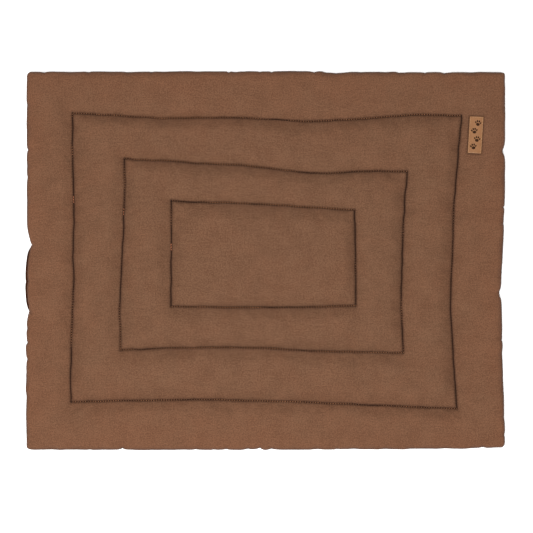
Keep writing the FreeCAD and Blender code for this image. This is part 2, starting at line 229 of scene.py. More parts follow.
def inside_of(line, u, v):
    """How far inside a line's rectangle a point lies, rounded in the corners: the distances to its two nearer
    sides, each to the power of minus three, are added and brought back. It is near nothing outside."""
    to_sides = [np.maximum(half - np.abs(place), 1e-6) for half, place in zip(HALF[line], (u, v))]
    return (to_sides[0] ** -3 + to_sides[1] ** -3) ** (-1 / 3)


def nearest_ring(u, v):
    """How far a point lies from the nearest of the three stitch lines, on its inside or straight from its
    outside."""
    distances = []
    for ring in RINGS:
        outside = [np.maximum(np.abs(place) - half, 0) for half, place in zip(HALF[ring], (u, v))]
        distances.append(inside_of(ring, u, v) + np.hypot(*outside))
    return np.min(distances, axis=0)


def rounded_drop(distance, run, drop, fullness):
    """How far the cloth lies below the crown: a quarter of a superellipse, upright at the sewn line, where it
    has the full drop, and level once the distance is past the run. Its power is the fullness, 2 for an
    ellipse."""
    share = np.clip(1 - distance / run, 0, 1)
    return drop * (1 - (1 - share**fullness) ** (1 / fullness))


def padded_height(side, u, v):
    """The height of one panel over the pattern: its crown less the deeper of the drops to the nearest stitch
    line and to the edge seam."""
    crown, valley = CROWN[side], STITCH_VALLEY[side]
    to_ring = np.maximum(nearest_ring(u, v) - VALLEY_FLOOR, 0)
    drop = np.maximum(
        rounded_drop(to_ring, SHOULDER[side], abs(crown - valley), FULLNESS),
        rounded_drop(inside_of("edge", u, v), EDGE_SHOULDER, abs(crown - SEAM_Z), EDGE_FULLNESS),
    )
    return crown - drop if side == "top" else crown + drop


def puckers(seed, u, v):
    """Short ridges square to every sewn line: unevenness along the line, nothing on it, highest a little way
    off it, then fading out, and fading past the line's ends."""
    lift = np.zeros_like(u)
    for n, line in enumerate(LINES):
        length, width = HALF[line]
        sides = ((u, v, -length, width), (u, v, length, width), (v, u, -width, length), (v, u, width, length))
        for m, (across, along, place, end) in enumerate(sides):
            distance = np.abs(across - place)
            beyond = np.maximum(np.abs(along) - end, 0)
            for k, (pitch, reach, height) in enumerate(PUCKERS):
                off_line = distance / (0.4 * reach * MM)
                fade = off_line * np.exp(1 - off_line - beyond / (reach * MM))
                lift += height * MM * fade * uneven(seed + 16 * n + 4 * m + k, along, pitch * MM)
    return lift


def spaced(axis, finest, coarsest):
    """Places for the grid lines along one axis: every sewn line has one, with an even number of steps between
    lines, which widen from the finest at a line to the coarsest 25 mm off it."""
    lines = sorted([-HALF[line][axis] for line in LINES] + [HALF[line][axis] for line in LINES])
    places = [lines[:1]]
    for start, end in zip(lines, lines[1:]):
        fine = np.linspace(start, end, 400)
        off_line = np.minimum(fine - start, end - fine)
        step = finest + (coarsest - finest) * ease(off_line, 0, 25 * MM)
        count = np.concatenate([[0], np.cumsum(np.diff(fine) * 2 / (step[1:] + step[:-1]))])
        steps = 2 * round(count[-1] / 2)
        places.append(np.interp(np.arange(1, steps + 1) * count[-1] / steps, count, fine))
    return np.concatenate(places)


def grid_faces(numbers, up):
    """Four-sided faces over a grid of vertex numbers, facing up or down."""
    corners = [numbers[:-1, :-1], numbers[:-1, 1:], numbers[1:, 1:], numbers[1:, :-1]]
    faces = np.stack(corners, axis=-1).reshape(-1, 4)
    return faces if up else faces[:, ::-1]


def rim(grid):
    """What lies round the border of a grid, once round, anticlockwise from above."""
    return np.concatenate([grid[0, :-1], grid[:-1, -1], grid[-1, :0:-1], grid[:0:-1, 0]])


def mesh_object(name, points, faces):
    """A mesh object from arrays of points and faces, smooth all over."""
    mesh = bpy.data.meshes.new(name)
    mesh.from_pydata(points.reshape(-1, 3).tolist(), [], [f for group in faces for f in group.tolist()])
    mesh.shade_smooth()
    made = bpy.data.objects.new(name, mesh)
    bpy.context.scene.collection.objects.link(made)
    return made


# The coarse grid that is settled, how flat the pillow starts, and how many moments it is given to swell.
coarse_u, coarse_v = (spaced(axis, 5 * MM, 6.5 * MM) for axis in (0, 1))
START_FLAT, MOMENTS = 0.88, 20


def settle():
    """How far each panel's cloth moves when the wadding swells under it, on the coarse grid: a closed pillow,
    pinned along the sewn lines, under pressure, with cloth a little longer than the space it is sewn into."""
    u, v = np.meshgrid(coarse_u, coarse_v)
    x, y = sewn(u, v)
    starts = {}
    for side in CROWN:
        height = SEAM_Z + (padded_height(side, u, v) - SEAM_Z) * START_FLAT
        starts[side] = np.stack([x, y, height], axis=-1)
    top = np.arange(u.size).reshape(u.shape)
    under = top + u.size
    under[0], under[-1], under[:, 0], under[:, -1] = top[0], top[-1], top[:, 0], top[:, -1]
    points = np.concatenate([starts["top"].reshape(-1, 3), starts["under"].reshape(-1, 3)])
    used, numbers = np.unique(np.stack([top, under]), return_inverse=True)
    top, under = numbers.reshape(2, *u.shape)
    pillow = mesh_object("settling", points[used], [grid_faces(top, True), grid_faces(under, False)])

    held = (nearest_ring(u, v) < VALLEY_FLOOR) | (from_edge(u, v) < VALLEY_FLOOR)
    pins = pillow.vertex_groups.new(name="sewn_down")
    pins.add([int(n) for n in np.unique(np.concatenate([top[held], under[held]]))], 1.0, "REPLACE")
    cloth = pillow.modifiers.new("cloth", "CLOTH")
    cloth.settings.quality = 5
    cloth.settings.mass = 0.2
    cloth.settings.tension_stiffness = 25
    cloth.settings.compression_stiffness = 12
    cloth.settings.shear_stiffness = 8
    cloth.settings.bending_stiffness = 0.3
    cloth.settings.shrink_min = -0.012
    cloth.settings.vertex_group_mass = "sewn_down"
    cloth.settings.use_pressure = True
    cloth.settings.uniform_pressure_force = 4
    cloth.settings.effector_weights.gravity = 0
    cloth.point_cache.frame_start, cloth.point_cache.frame_end = 1, MOMENTS
    for moment in range(1, MOMENTS + 1):
        bpy.context.scene.frame_set(moment)
    settled = pillow.evaluated_get(bpy.context.evaluated_depsgraph_get()).to_mesh()
    ends = np.empty(len(settled.vertices) * 3)
    settled.vertices.foreach_get("co", ends)
    ends = ends.reshape(-1, 3)
    moves = {"top": ends[top] - starts["top"], "under": ends[under] - starts["under"]}
    bpy.context.scene.frame_set(1)
    bpy.data.objects.remove(pillow)
    return moves


settled_moves = settle()


def spread(places, onto):
    """Weights that carry values at some places onto others, by a cubic through the four nearest."""
    index = np.interp(onto, places, np.arange(places.size))
    before = np.minimum(index.astype(int), places.size - 2)
    t = index - before
    cubic = (
        (-t + 2 * t**2 - t**3) / 2,
        (2 - 5 * t**2 + 3 * t**3) / 2,
        (t + 4 * t**2 - 3 * t**3) / 2,
        (-(t**2) + t**3) / 2,
    )
    weights = np.zeros((onto.size, places.size))
    for offset, weight in zip((-1, 0, 1, 2), cubic):
        column = np.clip(before + offset, 0, places.size - 1)
        np.add.at(weights, (np.arange(onto.size), column), weight)
    return weights


# The most that settling moves the cloth, and the share of a rise above the crown that crushed wadding keeps.
LARGEST_MOVE, CRUSHED = 6 * MM, 0.35
# Lumps in the wadding, felt through the cloth: their pitch and height, in mm.
LUMPS = ((46, 0.55), (15, 0.22))
# Where the turning gap starts and ends, and how far its upper fold lies back.
GAP_LOW, GAP_HIGH = (corner.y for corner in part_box("turning_gap_thread"))
GAP_OPEN = 4.3 * MM
# Folds pressed into the upper panel: where each starts, where it ends, and how deep it is, in mm.
CREASES = [
    ((-385, -281), (-406, -304), 1.6),
    ((-466, -103), (-453, -111), 2.4),
    ((-460, 58), (-447, 60), 0.8),
    ((386, 287), (398, 300), 0.9),
    ((-463, 29), (-446, 23), 1.5),
]
CREASE_WIDE = 2 * MM


def turning_gap(v):
    """1 along the turning gap in the left edge, easing to 0 at its ends."""
    return ease(v, GAP_LOW, GAP_LOW + 12 * MM) * ease(v, GAP_HIGH, GAP_HIGH - 12 * MM)


def creases(x, y):
    """The depth of the pressed folds: each a narrow groove along a line, deepest at its start."""
    depth = np.zeros_like(x)
    for start, end, deep in CREASES:
        start, end = np.array(start) * MM, np.array(end) * MM
        length = np.linalg.norm(end - start)
        way = (end - start) / length
        along = ((x - start[0]) * way[0] + (y - start[1]) * way[1]) / length
        across = (x - start[0]) * way[1] - (y - start[1]) * way[0]
        fade = ease(along, -0.15, 0.1) * ease(along, 1, 0.3)
        depth += deep * MM * fade * np.exp(-((across / CREASE_WIDE) ** 2))
    return depth


def panel(side, across, along):
    """The outer face of one panel on a grid of pattern places: the padded height, the settled moves with a
    limit on their length, puckers and lumps. Cloth pushed above the crown crushes the wadding, and the floor
    stops it."""
    u, v = np.meshgrid(across, along)
    x, y = sewn(u, v)
    to_along, to_across = spread(coarse_v, along), spread(coarse_u, across)
    moves = np.stack([to_along @ settled_moves[side][..., axis] @ to_across.T for axis in range(3)], axis=-1)
    length = np.linalg.norm(moves, axis=-1, keepdims=True)
    moves = moves * LARGEST_MOVE / (LARGEST_MOVE + length)
    height = padded_height(side, u, v)
    outwards = 1 if side == "top" else -1
    padding = np.clip(np.abs(height - SEAM_Z) / abs(CROWN[side] - SEAM_Z), 0, 1)
    seed = 100 if side == "top" else 300
    lumpy = sum(high * MM * lumps(seed + 70 + k, u, v, pitch * MM) for k, (pitch, high) in enumerate(LUMPS))
    relief = puckers(seed, u, v) + padding * lumpy
    dent_reach = 6 * MM
    dents = sum(drawn_in(u, v, dent_reach).values()) * from_edge(u, v) / dent_reach
    points = np.stack([x, y, height], axis=-1) + moves
    points[..., 2] += outwards * (relief - 1.1 * dents)
    if side == "top":
        points[..., 2] -= creases(points[..., 0], points[..., 1])
        over = np.maximum(points[..., 2] - CROWN_Z, 0)
        points[..., 2] -= (1 - CRUSHED) * over
        points[..., 0] += GAP_OPEN * turning_gap(v) * (u < 0) * np.exp(-from_edge(u, v) / (7 * MM))
    else:
        points[..., 2] = np.maximum(points[..., 2], CROWN["under"])
    return points


def unit(vectors):
    """Vectors brought to the length of one."""
    return vectors / np.linalg.norm(vectors, axis=-1, keepdims=True)


def outward_normals(points, side):
    """The unit normals of a panel, from the cross product of its slopes along the two grid directions."""
    normals = unit(np.cross(np.gradient(points, axis=1), np.gradient(points, axis=0)))
    return normals if side == "top" else -normals


# ==== Cover panels ====
# Plain-woven brown cotton, 0.8 mm thick, one panel above and one below. Each was cut 12 mm larger all round,
# and those margins are turned in at the edge seam, where they lie against each other inside the mat.

ALLOWANCE = 12 * MM
# The margin's profile, from the fold in to the raw edge and back: how far in it is, how far from the seam's
# level, and whether it stands up with the fold at the turning gap, in mm.
MARGIN = ((0.35, 0.02, 1), (0.9, 0.05, 0), (12, 0.05, 0), (12.4, 0.45, 0), (12, 0.85, 0))
# At the turning gap: how far the lower fold stands up, and how far the margins move apart behind it.
GAP_STAND = 2.4 * MM
MARGINS_PART = {"top": -0.2 * MM, "under": 1.6 * MM}
fine_u, fine_v = (spaced(axis, 1.5 * MM, 3.9 * MM) for axis in (0, 1))
flat_u, flat_v = np.meshgrid(fine_u, fine_v)
label_low, label_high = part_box("label")
label_centre = (label_low + label_high) / 2
LABEL_HALF = np.array([14, 37]) * MM
LABEL_TURN = np.radians(-3.6)
# The groove that the label's stitches draw round it: its depth, how far out it lies, and its half width.
GROOVE_DEEP, GROOVE_OUT, GROOVE_WIDE = 1.1 * MM, 1.0 * MM, 2.2 * MM
# The groove is shaded as a stitch valley is. A place counts as this much further from a seam than it lies
# from the label, and as so much more on its right and above, where there is less shade.
GROOVE_SHADE, GROOVE_LIT = 1.35 * MM, 0.45 * MM


def on_label(x, y):
    """Places measured across and along the label, from its middle."""
    x, y = x - label_centre.x, y - label_centre.y
    return x * np.cos(LABEL_TURN) + y * np.sin(LABEL_TURN), y * np.cos(LABEL_TURN) - x * np.sin(LABEL_TURN)


def beyond_label(x, y):
    """How far a place lies outside the label's outline, less than nothing inside it, and on which side it
    lies: 1 on the right or above, -1 on the left or below."""
    places = on_label(x, y)
    outside = [np.abs(place) - half for place, half in zip(places, LABEL_HALF)]
    nearer = outside[0] > outside[1]
    return np.maximum(*outside), np.where(nearer, np.sign(places[0]), np.sign(places[1]))


def bowl_terms(x, y):
    """The terms of a gently curved surface: level, slopes, bends and twist."""
    p, q = on_label(x, y)
    return np.stack([np.ones_like(p), p, q, p * p, q * q, p * q], axis=-1)


def press_under_label(points):
    """Flattens the cloth under the label onto the gently curved surface that fits it best, and returns that
    surface's terms."""
    beyond = beyond_label(points[..., 0], points[..., 1])[0]
    under = beyond < 0
    terms = bowl_terms(points[..., 0], points[..., 1])
    fit = np.linalg.lstsq(terms[under], points[..., 2][under], rcond=None)[0]
    share = 1 - ease(beyond, 0, 6 * MM)
    points[..., 2] += share * (terms @ fit - points[..., 2])
    points[..., 2] -= GROOVE_DEEP * np.exp(-(((beyond - GROOVE_OUT) / GROOVE_WIDE) ** 2))
    return fit


def inset_rim(inset):
    """The border of the pattern moved in by an inset, with square corners, as sewn."""
    limit = HALF["edge"] - inset
    return sewn(np.clip(rim(flat_u), -limit[0], limit[0]), np.clip(rim(flat_v), -limit[1], limit[1]))


def margin_loops(side, outer_rim):
    """The turned-in margin as loops round the mat: over the fold, in along the margin's seam side, round its
    raw edge and back. At the turning gap the lower fold stands up and the two margins part."""
    upwards = 1 if side == "top" else -1
    gap = turning_gap(outer_rim[:, 1]) * (outer_rim[:, 0] < 0)
    stand = GAP_STAND * gap * (side == "under")
    part = MARGINS_PART[side] * gap
    loops = []
    for inset, rise, standing in MARGIN:
        x, y = inset_rim(inset * MM)
        x = x + (outer_rim[:, 0] - inset_rim(0)[0]) * np.exp(-inset / 4)
        z = SEAM_Z + upwards * rise * MM + stand * standing - part * (1 - standing)
        loops.append(np.stack([x, y, z], axis=-1))
    return loops


def joined_rings(numbers):
    """Faces between loops that follow each other, each with as many points as the next."""
    return [
        np.stack([upper, lower, np.roll(lower, -1), np.roll(upper, -1)], axis=-1)
        for upper, lower in zip(numbers, numbers[1:])
    ]


def halved_ring(upper, lower):
    """Faces between a loop and one with half as many points, three triangles to each pair."""
    first, middle, last = upper[::2], upper[1::2], np.roll(upper, -2)[::2]
    near, far = lower, np.roll(lower, -1)
    return [
        np.stack([first, near, middle], axis=-1),
        np.stack([middle, near, far], axis=-1),
        np.stack([middle, far, last], axis=-1),
    ]


def cloth_lengths(points):
    """Places on the flat cloth: the distance over its surface from the middle, along each grid direction."""
    steps = [np.linalg.norm(np.diff(points, axis=axis), axis=-1) for axis in (1, 0)]
    across = np.concatenate([np.zeros((points.shape[0], 1)), np.cumsum(steps[0], axis=1)], axis=1)
    along = np.concatenate([np.zeros((1, points.shape[1])), np.cumsum(steps[1], axis=0)], axis=0)
    across -= across[:, across.shape[1] // 2, None]
    along -= along[along.shape[0] // 2]
    return np.stack([across, along], axis=-1)


# Further than any place on the mat is from another. Added to a distance, it rules a place out.
FAR = 1.0


def seam_facts(u, v):
    """For each place, how far the nearest stitch line is, the same but only inside that line's rectangle, and
    how far along the line it lies."""
    distances, alongs, insides = [], [], []
    for line in RINGS:
        length, width = HALF[line]
        for across, along, half, end in ((u, v, length, width), (v, u, width, length)):
            beyond = np.maximum(np.abs(along) - end, 0)
            distances.append(np.hypot(np.abs(across) - half, beyond))
            alongs.append(along)
            insides.append(distances[-1] + (np.abs(across) > half) * FAR)
    nearest = np.argmin(distances, axis=0)[None]
    return [np.take_along_axis(np.array(facts), nearest, 0)[0] for facts in (distances, insides, alongs)]


def give_values(piece, **values):
    """Stores a number for each vertex under a name that the material reads."""
    for name, numbers in values.items():
        stored = piece.data.attributes.new(name, "FLOAT", "POINT")
        stored.data.foreach_set("value", numbers.astype(np.float32))


def give_map(piece, name, places):
    """Stores flat places, one for each vertex, as a UV map."""
    loops = np.empty(len(piece.data.loops), int)
    piece.data.loops.foreach_get("vertex_index", loops)
    layer = piece.data.uv_layers.new(name=name)
    layer.data.foreach_set("uv", places[loops].astype(np.float32).ravel())


def over_skin(values, in_margin):
    """Values of a panel's outer face carried over its whole skin: every second one to the inner face, the
    rim's to the fold, and the margin's own to its other loops."""
    inner = values[::2, ::2]
    flat = [grid.reshape(-1, *grid.shape[2:]) for grid in (values, inner)]
    return np.concatenate([*flat, rim(values), *[in_margin] * (len(MARGIN) - 1)])


def cover_panel(name, side, outer):
    """One panel as a closed skin of real thickness: the fine outer face, the turned-in margin, and an inner
    face on every second grid line, one cloth's thickness inside the outer."""
    up = side == "top"
    inner = (outer - CLOTH * outward_normals(outer, side))[::2, ::2]
    loops = margin_loops(side, rim(outer))
    points = np.concatenate([outer.reshape(-1, 3), inner.reshape(-1, 3), *loops])
    numbers = np.arange(outer[..., 0].size).reshape(outer.shape[:2])
    inner_numbers = numbers.size + np.arange(inner[..., 0].size).reshape(inner.shape[:2])
    after_faces = numbers.size + inner_numbers.size
    loop_numbers = after_faces + np.arange(len(loops) * len(loops[0])).reshape(len(loops), -1)
    sides = joined_rings([rim(numbers), *loop_numbers]) + halved_ring(loop_numbers[-1], rim(inner_numbers))
    if not up:
        sides = [faces[:, ::-1] for faces in sides]
    made = mesh_object(name, points, [grid_faces(numbers, up), grid_faces(inner_numbers, not up), *sides])

    lengths = cloth_lengths(outer)
    distance, inside, along = seam_facts(flat_u, flat_v)
    if up:
        beyond, way = beyond_label(outer[..., 0], outer[..., 1])
        distance = np.minimum(distance, beyond + GROOVE_SHADE + GROOVE_LIT * way)
    fold = from_edge(flat_u, flat_v)
    give_map(made, "cloth", over_skin(lengths, rim(lengths)))
    give_values(
        made,
        from_seam=over_skin(distance, 0 * rim(distance)),
        inside_seam=over_skin(inside, rim(inside)),
        along_seam=over_skin(along, rim(along)),
        from_fold=over_skin(fold, rim(fold)),
    )
    return made


class Shade:
    """A number, colour or vector inside a material, so that shader maths is written as sums."""

    def __init__(self, finish, socket):
        self.finish, self.socket = finish, socket

    def maths(self, operation, *values):
        """The result of a Math node on some values."""
        return self.finish.node("Math", {"operation": operation}, dict(enumerate(values)))

    def __add__(self, other):
        return self.maths("ADD", self, other)

    def __sub__(self, other):
        return self.maths("SUBTRACT", self, other)

    def __rsub__(self, other):
        return self.maths("SUBTRACT", other, self)

    def __mul__(self, other):
        return self.maths("MULTIPLY", self, other)

    __radd__, __rmul__ = __add__, __mul__

    def wave(self):
        """The sine of an angle."""
        return self.maths("SINE", self)

    def size(self):
        """The value without its sign."""
        return self.maths("ABSOLUTE", self)

    def least(self, other):
        """The smaller of two values."""
        return self.maths("MINIMUM", self, other)

    def fading(self, reach):
        """Falls from 1 at zero, to about a third at the reach, towards nothing."""
        return self.maths("EXPONENT", self * (-1 / reach))


class Finish:
    """One procedural material and the nodes that mix it."""

    def __init__(self, name):
        self.material = bpy.data.materials.new(name)
        self.material.use_nodes = True
        self.tree = self.material.node_tree
        self.shader = self.tree.nodes["Principled BSDF"]

    def join(self, value, socket):
        """Links a shade to a socket, or sets the socket to a plain value."""
        if isinstance(value, Shade):
            self.tree.links.new(value.socket, socket)
        else:
            socket.default_value = value

    def node(self, kind, settings=None, sockets=None, out=0):
        """Adds a node of a kind, with its settings, then the values or links of its sockets."""
        made = self.tree.nodes.new("ShaderNode" + kind)
        for name, value in (settings or {}).items():
            setattr(made, name, value)
        for name, value in (sockets or {}).items():
            self.join(value, made.inputs[name])
        return Shade(self, made.outputs[out])

    def stored(self, name):
        """A number that the mesh stores for each vertex under a name."""
        return self.node("Attribute", {"attribute_name": name}, out=2)

    def mixed(self, share, first, second):
        """A colour between two colours."""
        return self.node("Mix", {"data_type": "RGBA"}, {0: share, 6: first, 7: second}, out=2)

    def noise(self, places, scale, detail=2.0, stretch=(1, 1, 1)):
        """Soft random values from 0 to 1, with features about one over the scale in size."""
        stretched = self.node("Mapping", None, {"Vector": places, "Scale": stretch})
        return self.node("TexNoise", None, {"Vector": stretched, "Scale": scale, "Detail": detail})

    def relief(self, height):
        """The normal of a surface raised by a height in millimetres."""
        return self.node("Bump", None, {"Strength": 1.0, "Distance": MM, "Height": height})

    def surface(self, **values):
        """Sets the surface shader's sockets, named with underscores for spaces."""
        for name, value in values.items():
            self.join(value, self.shader.inputs[name.replace("_", " ")])
        return self.material


STITCH = 5 * MM
WEAVE_PITCH = 0.6 * MM
# The cloth from its darkest yarns to its palest, plain and where the dye is ruddier, and the shade in a fold
# and in a stitch valley.
PLAIN_COTTON = (0.079, 0.0355, 0.0180, 1), (0.137, 0.0675, 0.0370, 1)
RUDDY_COTTON = (0.090, 0.0367, 0.0182, 1), (0.150, 0.0658, 0.0342, 1)
FOLD_SHADE = (0.034, 0.0095, 0.0030, 1)
VALLEY_SHADE = (0.012, 0.0036, 0.0014, 1)


def cotton():
    """Plain weave, 0.6 mm from thread to thread: the product of a wave each way. Stretched noise makes thick
    yarns both ways, round noise makes flecks and clouded dye, and each stitch of a seam draws in a dimple."""
    cloth = Finish("cover_cotton")
    places = cloth.node("UVMap", {"uv_map": "cloth"})
    axes = [cloth.node("SeparateXYZ", None, {"Vector": places}, out=n) for n in (0, 1)]
    from_seam, inside_seam = cloth.stored("from_seam"), cloth.stored("inside_seam")
    along_seam, from_fold = cloth.stored("along_seam"), cloth.stored("from_fold")
    thread_turn = np.pi / WEAVE_PITCH
    weave = (axes[0] * thread_turn).wave() * (axes[1] * thread_turn).wave()
    slubs = cloth.noise(places, 900, 2, (0.025, 1, 1))
    fine_slubs = cloth.noise(places, 2600, 1, (0.012, 1, 1))
    warp_slubs = cloth.noise(places, 1500, 1, (1, 0.02, 1))
    clouds = cloth.noise(places, 26, 3)
    patches = cloth.noise(places, 9, 2)
    flecks = cloth.noise(places, 420, 3)
    specks = cloth.noise(places, 1050, 3)
    blotches = cloth.noise(places, 42, 3)
    floats = cloth.node("TexVoronoi", None, {"Vector": places, "Scale": 620.0}, out=1)
    float_tone = cloth.node("SeparateColor", None, {"Color": floats})
    tone = 0.5 + (slubs - 0.5) + (fine_slubs - 0.5) + (warp_slubs - 0.5) * 0.9 + (clouds - 0.5) * 0.8
    tone = tone + (flecks - 0.5) * 3.4 + (specks - 0.5) * 3.4 + (float_tone - 0.5) * 0.45 + weave * 0.08
    ruddiness = (patches - 0.46) * 0.9 + (blotches - 0.5) * 0.8 + from_fold.fading(90 * MM) * 0.8
    dyed = cloth.mixed(ruddiness, cloth.mixed(tone, *PLAIN_COTTON), cloth.mixed(tone, *RUDDY_COTTON))
    in_fold = (from_fold.fading(2.1 * MM) * 1.1).least(0.97)
    in_valley = (from_seam.fading(1.4 * MM) * 1.25 + inside_seam.fading(6 * MM) * 0.2).least(0.98)
    colour = cloth.mixed(in_valley, cloth.mixed(in_fold, dyed, FOLD_SHADE), VALLEY_SHADE)
    dimple = (along_seam * (2 * np.pi / STITCH)).wave() * from_seam.fading(2.2 * MM)
    wrinkles = cloth.noise(places, 140, 2)
    height = weave * 0.05 + slubs * 0.16 + fine_slubs * 0.08 + dimple * 0.6 + wrinkles * 0.25
    return cloth.surface(
        Base_Color=colour,
        Roughness=0.86 + (flecks - 0.5) * 0.15,
        Normal=cloth.relief(height),
        Specular_IOR_Level=0.1,
        Sheen_Weight=0.04,
        Sheen_Roughness=0.6,
        Sheen_Tint=(0.72, 0.50, 0.38, 1),
    )


cover_cotton = cotton()
outer_faces = {side: panel(side, fine_u, fine_v) for side in CROWN}
label_bed = press_under_label(outer_faces["top"])
lower_fold = turning_gap(flat_v) * (flat_u < 0) * np.exp(-from_edge(flat_u, flat_v) / (2.5 * MM))
outer_faces["under"][..., 2] += GAP_STAND * lower_fold

cut_size = tuple(2 * (HALF["edge"] + ALLOWANCE))
for node, side in (("top_cover", "top"), ("bottom_cover", "under")):
    cover = cover_panel(f"{node}_cloth", side, outer_faces[side])
    cover.data.materials.append(cover_cotton)
    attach(cover, "root")
    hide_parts(node)

# ==== Wadding ====
# One layer of soft white polyester fibre, cut to fit inside the margins. It fills the channels and is
# squeezed thin along every stitch line. Nothing of it shows.

# How far the wadding keeps inside the cloth.
WADDING_CLEARANCE = 0.4 * MM


def innermost(levels, side):
    """The innermost level among each place and its eight neighbours, so that no dent between the wadding's
    coarser grid lines is missed."""
    padded = np.pad(levels, 1, mode="edge")
    rows, columns = levels.shape
    nearby = [padded[i:i + rows, j:j + columns] for i in range(3) for j in range(3)]
    return np.min(nearby, axis=0) if side == "top" else np.max(nearby, axis=0)


def wadding_layer():
    """A closed form between the two panels, up to the raw edges of the margins: their outer faces, on every
    second grid line, moved inwards by the cloth and a clearance, and kept that far inside each place's
    neighbours too."""
    inside = [
        slice(*np.searchsorted(places[::2], (-limit, limit)))
        for places, limit in zip((fine_v, fine_u), (HALF["edge"] - ALLOWANCE - 1 * MM)[::-1])
    ]
    faces = []
    for side, inwards, keep in (("top", -1, np.minimum), ("under", 1, np.maximum)):
        outer = outer_faces[side]
        face = outer - (CLOTH + WADDING_CLEARANCE) * outward_normals(outer, side)
        limit = innermost(outer[..., 2], side) + inwards * (CLOTH + WADDING_CLEARANCE)
        face[..., 2] = keep(face[..., 2], limit)
        faces.append(face[::2, ::2][inside[0], inside[1]])
    top, under = faces
    numbers = np.arange(top[..., 0].size).reshape(top.shape[:2])
    below = numbers + numbers.size
    walls = joined_rings([rim(numbers), rim(below)])
    points = np.concatenate([top.reshape(-1, 3), under.reshape(-1, 3)])
    return mesh_object("wadding_layer", points, [grid_faces(numbers, True), grid_faces(below, False), *walls])


def fibre():
    """Off-white fibre: soft clumps over fine crossing strands."""
    wadding = Finish("wadding_fibre")
    places = wadding.node("TexCoord", None, None, out=3)
    clumps = wadding.noise(places, 60, 4)
    strands = wadding.noise(places, 900, 3, (1, 0.08, 1)) + wadding.noise(places, 900, 3, (0.08, 1, 1))
    return wadding.surface(
        Base_Color=wadding.mixed(clumps, (0.70, 0.69, 0.66, 1), (0.88, 0.88, 0.86, 1)),
        Roughness=0.95,
        Normal=wadding.relief(clumps * 1.5 + strands * 0.25),
    )


wadding = wadding_layer()
wadding.data.materials.append(fibre())
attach(wadding, "root")
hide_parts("wadding")

# ==== Quilting threads ====
# A lockstitch in brown thread: the needle thread lies on the upper panel and the bobbin thread on the lower,
# and they lock inside. Each line begins and ends on its left side, where it is sewn over its own start.

# Where each stitch line starts on its left side, in mm, and how far it is sewn over its own start.
STARTS = {"outer": 126, "middle": 102, "inner": 33}
OVERSEWN = 14 * MM
# How deep a tight stitch sinks between the channels, and how long one turn of the thread's plies is.
SUNK, PLY_TWIST = 0.65 * MM, 1.1 * MM
# How many corners the oval section of a thread has.
CORNERS = 6


def sewn_loop(side, line):
    """The points of a panel's outer face along a stitch line, once round, anticlockwise from above, starting
    where the sewing starts."""
    columns, rows = (
        np.searchsorted(places, (-half - MM / 10, half - MM / 10))
        for places, half in zip((fine_u, fine_v), HALF[line])
    )
    loop = rim(outer_faces[side][rows[0]:rows[1] + 1, columns[0]:columns[1] + 1])
    on_left = loop[:, 0] < loop[:, 0].min() + 25 * MM
    start = np.argmin(np.abs(loop[:, 1] - STARTS[line] * MM) + FAR * ~on_left)
    return np.roll(loop, -start, axis=0)


def evenly(loop, step, extra=0.0):
    """Points an even step apart along a closed loop, and on past its start by an extra length."""
    closed = np.concatenate([loop, loop[: len(loop) // 4]])
    travelled = np.concatenate([[0], np.cumsum(np.linalg.norm(np.diff(closed, axis=0), axis=1))])
    around = travelled[len(loop)]
    wanted = np.arange(0, around + extra, step * around / (round(around / step) * step))
    return np.stack([np.interp(wanted, travelled, closed[:, axis]) for axis in range(3)], axis=-1), around


def capped_rings(numbers, tips):
    """Faces over the rings of a closed tube: four-sided between one ring and the next, and triangles from the
    first and the last ring to a tip."""
    after = np.roll(numbers, -1, axis=1)
    sides = np.stack([numbers[:-1], after[:-1], after[1:], numbers[1:]], axis=-1).reshape(-1, 4)
    start = np.stack([np.full_like(numbers[0], tips[0]), after[0], numbers[0]], axis=-1)
    end = np.stack([np.full_like(numbers[0], tips[1]), numbers[-1], after[-1]], axis=-1)
    return [sides, start, end]


def tube(centres, sideways, upwards, wide, high):
    """A thread: an oval with a few corners carried along a line, and closed to a point at each end."""
    turns = np.arange(CORNERS) * 2 * np.pi / CORNERS
    ovals = (
        centres[:, None]
        + np.cos(turns)[None, :, None] * sideways[:, None] * wide[:, None, None] / 2
        + np.sin(turns)[None, :, None] * upwards[:, None] * high[:, None, None] / 2
    )
    numbers = np.arange(len(centres) * CORNERS).reshape(-1, CORNERS)
    points = np.concatenate([ovals.reshape(-1, 3), centres[:1], centres[-1:]])
    return points, capped_rings(numbers, (numbers.size, numbers.size + 1))


def on_tube(values):
    """Values along a thread given to each corner of its tube and to its two tips."""
    return np.concatenate([np.repeat(values, CORNERS), values[[0, -1]]])


